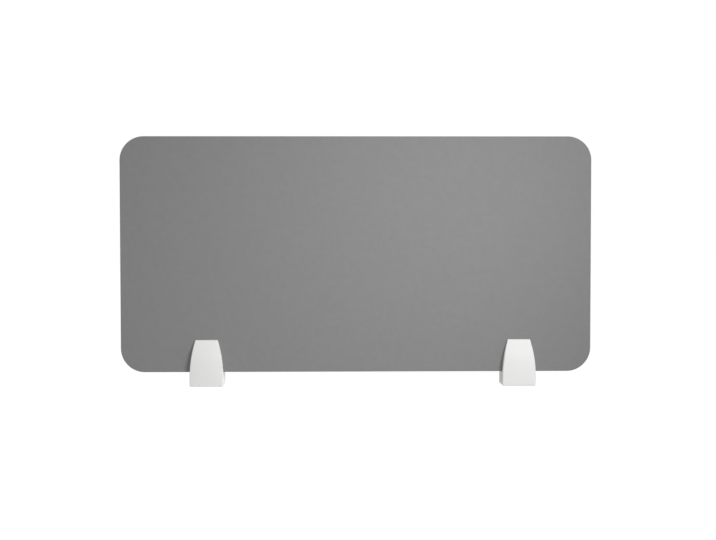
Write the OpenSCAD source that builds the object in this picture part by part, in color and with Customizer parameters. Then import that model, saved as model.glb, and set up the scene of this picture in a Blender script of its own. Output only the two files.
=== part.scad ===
// Acoustic divider screen: one felt board held upright at a desk's edge by two screw clamps.
// Millimetres. The origin is on the desk's top edge, at the middle of the board's width.
// +Z is up, +Y runs in over the desk, and the side that faces out of the desk looks along -Y.

/* [Board] */
// Width of the felt board
board_w = 1200; // [700:10:1800]
// Height of the felt board
board_h = 600; // [300:10:900]
// Thickness of the felt board
board_t = 12; // [9:0.5:20]
// Radius of the board's four corners
board_corner_r = 61; // [10:1:140]
// How far the board reaches down below the desk top
board_drop = 36; // [34:0.5:44]

/* [Clamp places] */
// Middle of the left clamp, in from the board's left edge
left_inset = 218; // [60:1:280]
// Middle of the right clamp, in from the board's right edge
right_inset = 184.5; // [60:0.5:280]

/* [Clamp face] */
// Width of the clamp at its foot
face_w = 85; // [78:1:110]
// Width of the clamp at its top
face_top_w = 57; // [54:1:70]
// How far the clamp reaches up from the board's lower edge
face_up = 82; // [78:1:120]
// How far the clamp reaches down from the board's lower edge
face_down = 36; // [30:1:60]
// Height above the foot at which the sides begin to curve in
flare_rise = 21; // [6:1:40]
// Radius of the two top corners
face_corner_r = 3; // [1:0.5:6]
// Radius of the two foot corners
foot_corner_r = 2.5; // [0.5:0.5:2.5]
// Depth of the cover from its bend down
cover_d = 14; // [11:0.5:24]
// Depth of the cover at its top edge
cover_top_d = 4; // [3:0.5:8]
// Height of the bend's middle above the board's lower edge
bend_rise = 36; // [20:1:50]
// Height over which the face bends
bend_h = 30; // [10:1:38]
// Wall of the cover
cover_wall = 2.4; // [1.6:0.1:2.8]

/* [Clamp body] */
// How far the body reaches in over the desk
body_reach = 39; // [37:1:60]
// Wall of the box under the desk
box_wall = 3; // [2:0.5:4]
// Radius of the box's two rear corners
box_corner_r = 3; // [1:0.5:4]
// Thickness of the spine behind the board
spine_t = 5; // [4:0.5:8]
// How far the stop stands out from the spine
stop_t = 1; // [0.5:0.5:2]
// Thickness of the floor that the board stands on
floor_t = 4; // [3:0.5:6]
// Thickness of the upper jaw
upper_t = 5; // [3:0.5:8]
// Width of the upper jaw
upper_w = 76; // [66:1:77]
// Radius of the upper jaw's two rear corners
upper_corner_r = 8; // [2:1:16]
// Thickness of the two gussets
gusset_t = 3; // [2:0.5:5]
// Distance between the gussets' middles
gusset_gap = 50; // [42:1:50]
// Width of the bridge that holds the nut
bridge_w = 30; // [20:1:44]
// Thickness of the bridge
bridge_t = 8; // [6:0.5:9]
// Width of the finger notch in the rear wall
notch_w = 44; // [30:1:60]
// Height of the finger notch
notch_h = 21; // [12:1:24]
// Radius of the notch's two corners
notch_r = 8; // [2:1:10]

/* [Desk grip] */
// Widest desk that fits, which is the opening as it stands
desk_max = 32; // [28:0.5:32]
// Travel of the pressure plate
travel = 15; // [6:0.25:15]
// Thickness of the rubber pads
pad_t = 2; // [1:0.25:2.25]
// Margin of the rubber pads inside what carries them
pad_margin = 3; // [1:0.5:6]
// Thickness of the folded pressure plate
plate_t = 3; // [1.5:0.25:3.25]
// Height of the pressure plate's folded sides
plate_skirt = 22; // [10:1:26]
// Radius of the fold, inside
fold_r = 1; // [0.5:0.25:2]

/* [Screw and knob] */
// Diameter of the clamp screw's thread
screw_d = 8; // [6:0.5:8]
// Diameter of the screw's neck in the pressure plate
neck_d = 6; // [4:0.5:6]
// Diameter of the neck in the clip's groove
groove_d = 5; // [3:0.5:5.5]
// Width across the flats of the nut and of the screw's head
hex_af = 13; // [12:0.5:14]
// Height of the nut
nut_h = 4; // [3:0.25:5]
// Height of the screw's hexagon head
head_h = 5.3; // [4:0.1:5.5]
// Diameter of the knob
knob_d = 34; // [28:1:34]
// Height of the knob
knob_h = 8; // [7.5:0.25:9]
// Number of grips round the knob
knob_grips = 8; // [5:1:10]
// Radius of the hollows between the knob's grips
knob_hollow_r = 5; // [3:0.5:6]
// Depth of those hollows
knob_hollow_d = 2; // [1:0.25:3]
// Outer diameter of the retaining clip
clip_d = 12; // [9:0.5:13]
// Thickness of the retaining clip
clip_t = 0.7; // [0.5:0.1:0.8]
// Width of the clip's mouth
clip_mouth = 4; // [2:0.5:4.5]

/* [Board grip] */
// Width of the plate that presses on the board
grip_w = 48; // [44:1:50]
// Height of the plate that presses on the board
grip_h = 30; // [20:1:32]
// Thickness of that plate
grip_t = 1.5; // [1:0.25:2]
// Depth of its seat in the spine
grip_seat = 1; // [0.5:0.25:1.5]
// Gap between the board's back and the spine
board_play = 0.7; // [0.25:0.05:0.95]
// Distance between the two set screws
set_gap = 28; // [20:1:32]
// Diameter of the set screws
set_d = 5; // [4:0.5:6]
// Length of the set screws
set_l = 8; // [6:0.5:8]
// Width across the flats of the set screws' sockets
set_af = 2.5; // [2:0.5:3]
// Depth of the set screws' sockets
set_socket = 3; // [2:0.5:4]
// Outer diameter of the threaded inserts
insert_d = 7; // [6.5:0.5:8]
// Length of the threaded inserts
insert_l = 6; // [5:0.5:7]
// Diameter of the bosses round the inserts
boss_d = 11; // [10:0.5:14]
// How far those bosses stand out from the spine
boss_h = 4; // [3:0.5:6]

/* [Cover screws] */
// Distance between the two columns of cover screws
cover_gap = 56; // [42:1:58]
// Distance between the two rows of cover screws
cover_rows = 16; // [9:1:17]
// Diameter of the cover screws
tapping_d = 3.5; // [3:0.5:4]
// Length of the cover screws under the head
tapping_l = 12; // [8:0.5:12]
// Diameter of their pan heads
tapping_head_d = 7; // [6:0.5:7.5]
// Height of their pan heads
tapping_head_h = 2.4; // [2:0.1:3]
// Diameter of the cover's screw bosses
tapping_boss_d = 8; // [6:0.5:9]
// Thickness of the cover's ribs
rib_t = 2; // [1:0.25:3]
// Distance between the cover's ribs
rib_gap = 18; // [12:1:20]

/* [Hidden] */
$fn = 96;
// Facets of the long side curves, where a drawing needs them
arc_fn = 360;

// Clearances and small margins
over = 1;            // overrun of cuts
ease = 0.01;         // how far two curves cross where they would only touch
run = 0.06;          // between a shaft and its hole
snug = 0.05;         // between a fastener and its hole, on the radius
slip = 0.3;          // between plates that slide
loose = 0.4;         // round a screw that passes through
rest_gap = 0.5;      // between stacked moving pieces, fully open
rim_drop = 1;        // the box's rim below the rubber, fully open
edge = 3;            // lands kept at edges
rib_front = 5.5;     // width of the ribs that guide the plate's sides
cross_w = 0.9;       // cross recess of the cover screws
cross_l = 4;
cross_deep = 1.4;
head_sunk = 0.7;     // the hexagon head inside the knob's underside
nut_sunk = 0.2;      // the nut below the bridge's top
gusset_foot = 2;     // height of a gusset at its end
gusset_lip = 4;      // width of a gusset at its top
tip_r = 0.5;         // bevel of screw ends

// Heights, from the desk top down and up
board_z = -board_drop;
foot_z = board_z - face_down;
head_z = board_z + face_up;
floor_z = board_z - floor_t;
upper_z = pad_t + upper_t;
grip_top = -desk_max;
plate_top = grip_top - pad_t;
plate_low = plate_top - plate_t;
rim_z = grip_top - rim_drop;
bridge_top = plate_low - rest_gap;
bridge_low = bridge_top - bridge_t;
knob_top = bridge_low - travel - rest_gap;
knob_low = knob_top - knob_h;
head_top = knob_low + head_sunk + head_h;
nut_top = bridge_top - nut_sunk;
nut_low = nut_top - nut_h;
shoulder_z = plate_low - slip / 2;
neck_top = grip_top - rim_drop + snug;
clip_low = plate_top + snug;

// Places along Y, from the stop face towards the board's front
spine_back = -stop_t;
spine_front = spine_back - spine_t;
board_back = spine_front - board_play;
board_front = board_back - board_t;
face_y = board_front - cover_d;
face_top_y = board_front - cover_top_d;
wall_in = board_front + box_wall;
rear_in = body_reach - box_wall;
plate_back = rear_in - slip;
axis_y = rear_in / 2;
grip_back = board_back + grip_t;

// The face's outline
flare_z = foot_z + flare_rise;
flare_h = head_z - flare_z;
flare_in = (face_w - face_top_w) / 2;
side_r = (flare_h * flare_h + flare_in * flare_in) / (2 * flare_in);
side_cx = face_w / 2 - side_r;

// The face's bend: half its angle, found by a few rounds of substitution
bend_z = board_z + bend_rise - bend_h / 2;
bend_fall = cover_d - cover_top_d;
function half_bend(u, rounds) = rounds == 0 ? u
  : half_bend(bend_fall / (bend_h + 2 * (head_z - bend_z - bend_h) / (1 - u * u)), rounds - 1);
bend_a = 2 * atan(half_bend(0, 8));
bend_r = bend_h / sin(bend_a);

// Middle heights of the fasteners
set_z = (upper_z + head_z) / 2;
cover_mid_z = (foot_z + box_wall + floor_z) / 2;
inside_w = face_w - 2 * box_wall;

left_x = left_inset - board_w / 2;
right_x = board_w / 2 - right_inset;

white = "#f1f1ef";
felt_grey = "#8b8b8b";
zinc = "#b9bcbe";
rubber_black = "#2b2b2c";
knob_black = "#333436";

module at_left() { translate([left_x, 0, 0]) children(); }
module at_right() { translate([right_x, 0, 0]) children(); }

// Lays a drawing in X and Z between two places along Y
module along_y(y0, y1) {
  translate([0, y1, 0]) rotate([90, 0, 0]) linear_extrude(height = y1 - y0) children();
}

// Lays a drawing in Y and Z between two places along X
module along_x(x0, x1) {
  translate([x0, 0, 0]) rotate([90, 0, 90]) linear_extrude(height = x1 - x0) children();
}

module block(x0, x1, y0, y1, z0, z1) {
  translate([x0, y0, z0]) cube([x1 - x0, y1 - y0, z1 - z0]);
}

module flat(x0, x1, y0, y1) { translate([x0, y0]) square([x1 - x0, y1 - y0]); }

// A rod along Y
module rod_y(r, y0, y1) { translate([0, y1, 0]) rotate([90, 0, 0]) cylinder(r = r, h = y1 - y0); }

// A straight rectangle with four round corners, from two crossed rectangles and four discs
module round_flat(x0, x1, y0, y1, r) {
  flat(x0 + r, x1 - r, y0, y1);
  flat(x0, x1, y0 + r, y1 - r);
  for (x = [x0 + r, x1 - r], y = [y0 + r, y1 - r]) translate([x, y]) circle(r = r);
}

// What lies inside one of the two long side curves, and all of the straight foot
module side_limit(cx, r) {
  flat(-face_w, face_w, foot_z - over, flare_z);
  translate([cx, flare_z]) circle(r = r, $fn = arc_fn);
}

// The clamp's outline from the front: straight sides at the foot, then one long curve each up
// to the narrower top. Each curve stands a hair outside its side, so that it crosses the straight
// line cleanly where the two would only touch.
module face_outline(inset = 0) {
  half = face_w / 2 - inset;
  foot = foot_z + inset;
  top = head_z - inset;
  r = side_r - inset;
  cr = max(face_corner_r - inset, 0);
  cz = top - cr;
  cx = side_cx + sqrt((r - cr) * (r - cr) - (cz - flare_z) * (cz - flare_z)) + ease;
  reach = (r + over) / (r - cr);
  difference() {
    intersection() {
      flat(-half, half, foot, top);
      side_limit(side_cx + ease, r);
      side_limit(-side_cx - ease, r);
    }
    if (cr > 0) for (s = [-1, 1]) difference() {
      polygon([[s * cx, cz + ease], [s * cx, top + over], [s * (half + over), top + over],
        [s * (side_cx + (cx - side_cx) * reach), flare_z + (cz + ease - flare_z) * reach]]);
      translate([s * cx, cz + ease]) circle(r = cr);
    }
    if (inset == 0) for (s = [-1, 1]) difference() {
      translate([s * (half - foot_corner_r / 2 + over / 2), foot - over / 2 + foot_corner_r / 2])
        square([foot_corner_r + over, foot_corner_r + over], center = true);
      translate([s * (half - foot_corner_r), foot + foot_corner_r]) circle(r = foot_corner_r);
    }
  }
}

// The cover's outline from the side, in Y and Z, less a skin on its outer face: upright below,
// a bend, and a straight slope up to the thin top
module cover_profile(skin = 0, back = 0) {
  front = face_y + skin;
  r = bend_r - skin;
  bend_top = bend_z + r * sin(bend_a);
  slope_y = front + r * (1 - cos(bend_a)) + ease;
  drop = bend_top - foot_z + over;
  rise = head_z + over - bend_top;
  intersection() {
    flat(front, board_front + back, foot_z - over, head_z + over);
    union() {
      flat(front - over, board_front + back, foot_z - over, bend_z);
      intersection() {
        flat(front - over, board_front + back, bend_z - over, bend_top);
        translate([front + r - ease, bend_z]) circle(r = r, $fn = arc_fn);
      }
      flat(front - over, board_front + back, bend_top, head_z + over);
    }
    polygon([[slope_y - drop * tan(bend_a), bend_top - drop], [slope_y + rise * tan(bend_a), bend_top + rise],
      [board_front + back + over, bend_top + rise], [board_front + back + over, bend_top - drop]]);
  }
}

module cover_mass(inset = 0, back = 0) {
  intersection() {
    along_y(face_y, board_front + back) face_outline(inset);
    along_x(-face_w, face_w) cover_profile(inset, back);
  }
}

// What to cut from two upright corners at the body's rear, to leave them round
module rear_corners(half, r, z0, z1) {
  for (s = [-1, 1]) difference() {
    translate([s * half, body_reach, (z0 + z1) / 2])
      cube([2 * r, 2 * r, z1 - z0 + 2 * over], center = true);
    translate([s * (half - r), body_reach - r, z0 - 2 * over])
      cylinder(r = r, h = z1 - z0 + 4 * over);
  }
}

module cover_screw_places() {
  for (x = [-cover_gap / 2, cover_gap / 2], z = [cover_mid_z - cover_rows / 2, cover_mid_z + cover_rows / 2])
    translate([x, 0, z]) children();
}

module set_places() {
  for (x = [-set_gap / 2, set_gap / 2]) translate([x, 0, set_z]) children();
}

module board() {
  color(felt_grey) along_y(board_front, board_back)
    round_flat(-board_w / 2, board_w / 2, board_z, board_z + board_h, board_corner_r);
}

// Hollow wedge in front of the board: a skin with ribs that bear on the board, and four bosses
module cover() {
  color(white) difference() {
    union() {
      difference() {
        cover_mass();
        cover_mass(cover_wall, over);
      }
      intersection() {
        cover_mass(cover_wall / 2);
        union() {
          for (x = [-rib_gap, 0, rib_gap])
            block(x - rib_t / 2, x + rib_t / 2, face_y, board_front, foot_z, head_z);
          block(-face_w / 2, face_w / 2, face_y, board_front, board_z - rib_t, board_z);
          cover_screw_places() rod_y(tapping_boss_d / 2, face_y, board_front);
        }
      }
    }
    cover_screw_places()
      rod_y(tapping_d / 2 + snug, wall_in - tapping_l - over, board_front + over);
  }
}

module cover_screws() {
  color(zinc) cover_screw_places() difference() {
    union() {
      rod_y(tapping_head_d / 2, wall_in, wall_in + tapping_head_h);
      rod_y(tapping_d / 2, wall_in - tapping_l, wall_in);
    }
    for (a = [0, 90]) rotate([0, a, 0])
      block(-cross_l / 2, cross_l / 2, wall_in + tapping_head_h - cross_deep,
        wall_in + tapping_head_h + over, -cross_w / 2, cross_w / 2);
  }
}

// Box under the desk, floor under the board, spine behind it, upper jaw over the desk,
// and the bridge that carries the nut
module body() {
  color(white) difference() {
    union() {
      // box walls, open below and above
      difference() {
        union() {
          along_y(board_front, body_reach) intersection() {
            face_outline();
            flat(-face_w, face_w, foot_z - over, board_z);
          }
          along_y(spine_front, body_reach) intersection() {
            face_outline();
            flat(-face_w, face_w, floor_z, rim_z);
          }
        }
        rear_corners(face_w / 2, box_corner_r, foot_z, rim_z);
        block(-inside_w / 2, inside_w / 2, wall_in, rear_in, foot_z - over, floor_z);
        block(-inside_w / 2, inside_w / 2, spine_back, rear_in, floor_z - over, rim_z + over);
        along_y(rear_in - over, body_reach + over) {
          flat(-notch_w / 2, notch_w / 2, foot_z - over, foot_z + notch_h - notch_r);
          flat(-notch_w / 2 + notch_r, notch_w / 2 - notch_r, foot_z, foot_z + notch_h);
          for (s = [-1, 1]) translate([s * (notch_w / 2 - notch_r), foot_z + notch_h - notch_r])
            circle(r = notch_r);
        }
      }
      // spine and stop
      along_y(spine_front, spine_back) intersection() {
        face_outline();
        flat(-face_w, face_w, floor_z, head_z);
      }
      block(-upper_w / 2 + pad_margin, upper_w / 2 - pad_margin, spine_back, 0,
        grip_top + rim_drop, -rim_drop);
      // upper jaw
      difference() {
        block(-upper_w / 2, upper_w / 2, spine_back, body_reach, pad_t, upper_z);
        rear_corners(upper_w / 2, upper_corner_r, pad_t, upper_z);
      }
      for (s = [-1, 1]) along_x(s * gusset_gap / 2 - gusset_t / 2, s * gusset_gap / 2 + gusset_t / 2)
        polygon([[spine_back, upper_z], [body_reach - upper_corner_r, upper_z],
          [body_reach - upper_corner_r, upper_z + gusset_foot],
          [spine_back + gusset_lip, head_z - face_corner_r - gusset_foot],
          [spine_back, head_z - face_corner_r - gusset_foot]]);
      // bosses for the inserts
      set_places() rod_y(boss_d / 2, spine_front + grip_seat, spine_back + boss_h);
      // bridge under the pressure plate, and the ribs that guide the plate's sides
      block(-bridge_w / 2, bridge_w / 2, wall_in - edge / 2, rear_in + edge / 2, bridge_low, bridge_top);
      for (s = [-1, 1]) block(s * (inside_w / 2 + edge / 2 - rib_front / 2) - rib_front / 2,
        s * (inside_w / 2 + edge / 2 - rib_front / 2) + rib_front / 2, -edge, 0, foot_z + edge, floor_z + edge / 2);
    }
    // seat of the grip plate
    block(-grip_w / 2 - slip, grip_w / 2 + slip, spine_front - over, spine_front + grip_seat,
      set_z - grip_h / 2 - slip, set_z + grip_h / 2 + slip);
    set_places() {
      rod_y(set_d / 2 + run, spine_front - over, spine_back + boss_h + over);
      rod_y(insert_d / 2, spine_back + boss_h - insert_l, spine_back + boss_h + over);
    }
    // holes of the cover screws
    cover_screw_places() rod_y(tapping_d / 2 + loose / 2, board_front - over, wall_in + over);
    // nut pocket and the screw's way through
    translate([0, axis_y, 0]) {
      translate([0, 0, nut_low]) rotate([0, 0, 30])
        cylinder(r = (hex_af / 2 + snug) / cos(30), h = bridge_t, $fn = 6);
      translate([0, 0, bridge_low - over]) cylinder(r = screw_d / 2 + loose, h = bridge_t + 2 * over);
    }
  }
}

module grip_plate() {
  color(zinc) block(-grip_w / 2, grip_w / 2, board_back, grip_back,
    set_z - grip_h / 2, set_z + grip_h / 2);
}

module grip_screws() {
  color(zinc) set_places() difference() {
    rod_y(set_d / 2, grip_back, grip_back + set_l);
    translate([0, grip_back + set_l + over, 0]) rotate([90, 0, 0])
      cylinder(r = set_af / 2 / cos(30), h = set_socket + over, $fn = 6);
  }
}

module grip_inserts() {
  color("#c8a24a") set_places() difference() {
    rod_y(insert_d / 2, spine_back + boss_h - insert_l, spine_back + boss_h);
    rod_y(set_d / 2 + snug, spine_back + boss_h - insert_l - over, spine_back + boss_h + over);
  }
}

module top_pad() {
  color(rubber_black) linear_extrude(height = pad_t)
    round_flat(-upper_w / 2 + pad_margin, upper_w / 2 - pad_margin, pad_margin,
      body_reach - pad_margin, upper_corner_r - pad_margin / 2);
}

// Plate folded down along both sides, which the box's walls guide
module pressure_plate() {
  half = inside_w / 2 - slip;
  color(zinc) difference() {
    along_y(slip, plate_back) difference() {
      union() {
        flat(-half, half, plate_top - plate_skirt, plate_top - plate_t - fold_r);
        flat(-half + plate_t + fold_r, half - plate_t - fold_r, plate_top - plate_skirt, plate_top);
        for (s = [-1, 1]) translate([s * (half - plate_t - fold_r), plate_top - plate_t - fold_r])
          circle(r = plate_t + fold_r);
      }
      flat(-half + plate_t, half - plate_t, plate_top - plate_skirt - over, plate_low - fold_r);
      flat(-half + plate_t + fold_r, half - plate_t - fold_r, plate_low - 2 * fold_r, plate_low);
      for (s = [-1, 1]) translate([s * (half - plate_t - fold_r), plate_low - fold_r])
        circle(r = fold_r);
    }
    translate([0, axis_y, plate_low - over])
      cylinder(r = neck_d / 2 + run, h = plate_t + 2 * over);
  }
}

module pressure_pad() {
  half = inside_w / 2 - slip - pad_margin;
  color(rubber_black) translate([0, 0, plate_top]) linear_extrude(height = pad_t) difference() {
    round_flat(-half, half, pad_margin, plate_back - pad_margin, upper_corner_r - pad_margin / 2);
    translate([0, axis_y]) circle(r = clip_d / 2 + edge / 2);
  }
}

module nut() {
  color(zinc) translate([0, axis_y, nut_low]) difference() {
    rotate([0, 0, 30]) cylinder(r = hex_af / 2 / cos(30), h = nut_h, $fn = 6);
    translate([0, 0, -over]) cylinder(r = screw_d / 2 + snug, h = nut_h + 2 * over);
  }
}

// Hexagon head held in the knob, long thread, and a grooved neck through the pressure plate
module clamp_screw() {
  color(zinc) translate([0, axis_y, 0]) {
    translate([0, 0, head_top - head_h]) rotate([0, 0, 30])
      cylinder(r = hex_af / 2 / cos(30), h = head_h, $fn = 6);
    rotate_extrude() polygon([[0, head_top - head_h / 2], [screw_d / 2, head_top - head_h / 2],
      [screw_d / 2, shoulder_z - tip_r], [screw_d / 2 - tip_r, shoulder_z],
      [neck_d / 2, shoulder_z], [neck_d / 2, clip_low],
      [groove_d / 2, clip_low], [groove_d / 2, clip_low + clip_t + snug],
      [neck_d / 2, clip_low + clip_t + snug], [neck_d / 2, neck_top - snug * 2],
      [neck_d / 2 - snug * 2, neck_top], [0, neck_top]]);
  }
}

// Open ring in the neck's groove, on top of the pressure plate
module clip() {
  color(zinc) translate([0, axis_y, clip_low]) difference() {
    cylinder(r = clip_d / 2, h = clip_t);
    translate([0, 0, -over]) cylinder(r = groove_d / 2 + snug, h = clip_t + 2 * over);
    translate([-clip_mouth / 2, -clip_d, -over]) cube([clip_mouth, clip_d, clip_t + 2 * over]);
  }
}

module knob() {
  color(knob_black) translate([0, axis_y, 0]) difference() {
    translate([0, 0, knob_low]) cylinder(d = knob_d, h = knob_h);
    for (i = [0 : knob_grips - 1]) rotate([0, 0, (i + 0.5) * 360 / knob_grips])
      translate([knob_d / 2 + knob_hollow_r - knob_hollow_d, 0, knob_low - over])
        cylinder(r = knob_hollow_r, h = knob_h + 2 * over);
    translate([0, 0, knob_low - over]) rotate([0, 0, 30])
      cylinder(r = (hex_af / 2 + snug) / cos(30), h = head_top - knob_low + over, $fn = 6);
    translate([0, 0, knob_low]) cylinder(r = screw_d / 2 + snug, h = knob_h + over);
  }
}

board();
at_left() body();  // left_body
at_left() cover();  // left_cover
at_left() cover_screws();  // left_cover_screws
at_left() grip_plate();  // left_grip_plate
at_left() grip_screws();  // left_grip_screws
at_left() grip_inserts();  // left_grip_inserts
at_left() top_pad();  // left_top_pad
at_left() pressure_plate();  // left_pressure_plate
at_left() pressure_pad();  // left_pressure_pad
at_left() nut();  // left_nut
at_left() clamp_screw();  // left_clamp_screw
at_left() clip();  // left_clip
at_left() knob();  // left_knob
at_right() body();  // right_body
at_right() cover();  // right_cover
at_right() cover_screws();  // right_cover_screws
at_right() grip_plate();  // right_grip_plate
at_right() grip_screws();  // right_grip_screws
at_right() grip_inserts();  // right_grip_inserts
at_right() top_pad();  // right_top_pad
at_right() pressure_plate();  // right_pressure_plate
at_right() pressure_pad();  // right_pressure_pad
at_right() nut();  // right_nut
at_right() clamp_screw();  // right_clamp_screw
at_right() clip();  // right_clip
at_right() knob();  // right_knob
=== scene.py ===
# %% [markdown]
# # An acoustic divider screen for a desk
# The object is one big grey felt board with round corners, held upright by two white clamps that
# straddle its lower edge. The CAD frame already holds every solid at its real size and place, so
# this notebook only dresses it: it builds finer surfaces over the plain solids, gives each finish
# its own grain, and lights the screen the way a catalogue picture does. Blender works in metres, so
# a length thought of in millimetres is written times MM. Only the screws, the hexagon bars and what
# is cut out of screws and knobs are drawn in plain millimetres, and those meshes are then scaled.

# %% Load the frame
import bpy, bmesh, math
from mathutils import Matrix, Vector


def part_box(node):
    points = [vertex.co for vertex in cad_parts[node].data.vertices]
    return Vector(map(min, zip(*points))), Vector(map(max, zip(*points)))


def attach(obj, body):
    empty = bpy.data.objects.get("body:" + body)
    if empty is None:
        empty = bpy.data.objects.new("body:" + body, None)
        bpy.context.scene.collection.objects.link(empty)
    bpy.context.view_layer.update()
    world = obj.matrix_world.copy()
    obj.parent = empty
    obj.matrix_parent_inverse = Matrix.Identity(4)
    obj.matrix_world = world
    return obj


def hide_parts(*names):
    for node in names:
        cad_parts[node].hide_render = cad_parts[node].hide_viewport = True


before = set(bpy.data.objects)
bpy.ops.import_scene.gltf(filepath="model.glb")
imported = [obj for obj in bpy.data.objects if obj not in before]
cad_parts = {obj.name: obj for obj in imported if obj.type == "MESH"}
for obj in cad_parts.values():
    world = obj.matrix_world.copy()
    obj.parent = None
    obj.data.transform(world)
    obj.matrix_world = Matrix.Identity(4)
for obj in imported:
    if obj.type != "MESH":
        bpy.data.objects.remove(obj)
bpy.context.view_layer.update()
MM = 0.001
SIDES = ("left", "right")

# %% [markdown]
# ## Two small tools for node trees
# Materials and Geometry Nodes are both trees of nodes, and a tree wired by hand is long to read.
# A class that wraps one socket can answer to +, -, *, / and **, so a sum is written as a sum and
# each operator adds one Math node. Every other kind of node goes through a single method that takes
# its type, its settings and what its sockets hold. Python works out plain numbers, and only what
# changes over a surface becomes a node.

# %% A socket that does arithmetic, and a tree that adds nodes
class Wire:
    """One output socket. Arithmetic on it adds Math nodes to its tree."""

    def __init__(self, tree, node, name=None):
        self.tree, self.node = tree, node
        if node.outputs:
            self.socket = next(s for s in node.outputs if s.enabled and name in (None, s.name))

    def out(self, name):
        return Wire(self.tree, self.node, name)

    def maths(self, operation, *others):
        return self.tree.maths(operation, self, *others)

    def __add__(self, b): return self.maths("ADD", b)
    def __sub__(self, b): return self.maths("SUBTRACT", b)
    def __mul__(self, b): return self.maths("MULTIPLY", b)
    def __truediv__(self, b): return self.maths("DIVIDE", b)
    def __pow__(self, b): return self.maths("POWER", b)

    # the same five where a plain number stands on the left, as in 1 - mask
    __radd__, __rmul__ = __add__, __mul__
    def __rsub__(self, a): return self.tree.maths("SUBTRACT", a, self)
    def __rtruediv__(self, a): return self.tree.maths("DIVIDE", a, self)
    def __rpow__(self, a): return self.tree.maths("POWER", a, self)

    def absolute(self): return self.maths("ABSOLUTE")
    def above(self, b): return self.maths("GREATER_THAN", b)
    def between(self, low, high): return self.maths("MAXIMUM", low).maths("MINIMUM", high)


class Tree:
    """Adds nodes to one node tree: a type, its settings, and what each socket holds."""

    def __init__(self, group):
        self.group = group

    def plug(self, socket, value):
        if isinstance(value, Wire):
            self.group.links.new(value.socket, socket)
        else:
            socket.default_value = value

    def add(self, kind, settings=None, sockets=None):
        node = self.group.nodes.new(kind)
        for name, value in (settings or {}).items():
            setattr(node, name, value)
        for name, value in (sockets or {}).items():
            if isinstance(name, int):
                socket = node.inputs[name]
            else:
                socket = next(s for s in node.inputs if s.enabled and s.name == name)
            self.plug(socket, value)
        return Wire(self, node)

    def maths(self, operation, *terms):
        return self.add("ShaderNodeMath", {"operation": operation}, dict(enumerate(terms)))

    def axes(self, vector):
        """The X, Y and Z of a vector."""
        split = self.add("ShaderNodeSeparateXYZ", None, {0: vector})
        return [split.out(axis) for axis in "XYZ"]


# %% [markdown]
# ## The camera
# The photograph looks almost straight at the board, from a little above its middle and slightly to
# the left, so the board is a rectangle with a hint of keystone and each clamp shows a sliver of the
# side wall that faces the middle. Where the camera stands was found by matching the board's four
# edges and the clamps' tops, feet and side walls. A lens of about 64 mm from 3.3 m away gives the
# same widths for those slivers. The camera is the first object that this notebook makes, and a new
# object only counts once it is linked to the scene, so a helper does both.

# %% Make an object and link it
def linked(name, data):
    """A new object with this data, linked to the scene."""
    item = bpy.data.objects.new(name, data)
    bpy.context.collection.objects.link(item)
    return item


# %% Stand the camera where the photograph was taken
FULL_FRAME = 36.0  # width of the sensor that the lens is given for, in millimetres
FAR = 50.0         # what lies further from the camera than this many metres isn't drawn


def aim_camera(place, yaw, pitch, roll, lens):
    """A camera that looks along +Y, then is turned right, tipped down and rolled, in degrees."""
    yaw, pitch, roll = (math.radians(a) for a in (yaw, pitch, roll))
    ahead = Vector((math.sin(yaw) * math.cos(pitch), math.cos(yaw) * math.cos(pitch),
                    -math.sin(pitch)))
    level = ahead.cross(Vector((0, 0, 1))).normalized()
    above = level.cross(ahead)
    right = math.cos(roll) * level + math.sin(roll) * above
    up = math.cos(roll) * above - math.sin(roll) * level
    data = bpy.data.cameras.new("camera")
    data.lens, data.sensor_width, data.clip_end = lens, FULL_FRAME, FAR
    item = linked("camera", data)
    item.matrix_world = Matrix.Translation(place) @ Matrix((right, up, -ahead)).transposed().to_4x4()
    bpy.context.scene.camera = item
    return item


camera = aim_camera(place=(-0.060, -3.278, 0.3435), yaw=1.128, pitch=2.099, roll=-0.047, lens=64.33)
print("camera at", tuple(round(v, 3) for v in camera.location))

# %% [markdown]
# ## A finish is a small recipe
# Each finish starts from one Principled shader. What is the same all over, such as the metalness of
# a screw, is set on the shader's own socket, and only what varies is wired. All patterns read Object
# coordinates: every piece sits at the origin with its place in its mesh, so the coordinates are
# metres on the real object and one noise scale means the same grain on every piece.

# %% Start a finish, and the noise that most of them share
def new_finish(name, **fixed):
    """A material, its tree, its Principled shader and its Object coordinates."""
    material = bpy.data.materials.new(name)
    material.use_nodes = True
    tree = Tree(material.node_tree)
    shader = material.node_tree.nodes["Principled BSDF"]
    for socket, value in fixed.items():
        shader.inputs[socket.replace("_", " ")].default_value = value
    here = tree.add("ShaderNodeTexCoord").out("Object")
    return material, tree, shader, here


def noise(tree, here, size, detail=2.0, roughness=0.5, lean=0.0):
    """Noise whose blobs are about size metres across, from 0 to 1."""
    return tree.add("ShaderNodeTexNoise", None, {"Vector": here, "Scale": 1.0 / size, "Detail": detail,
                                                 "Roughness": roughness, "Distortion": lean})


def blend(tree, share, a, b):
    """Two colours, mixed by a share from 0 to 1."""
    return tree.add("ShaderNodeMix", {"data_type": "RGBA"}, {"Factor": share, "A": a, "B": b})


def bumped(tree, shader, height, depth, strength):
    """Feeds a height from 0 to 1, times a depth in metres, to the shader as a bump."""
    sockets = {"Height": height, "Distance": depth, "Strength": strength}
    tree.plug(shader.inputs["Normal"], tree.add("ShaderNodeBump", None, sockets))


def grey(value):
    return (value, value, value, 1.0)


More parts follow.
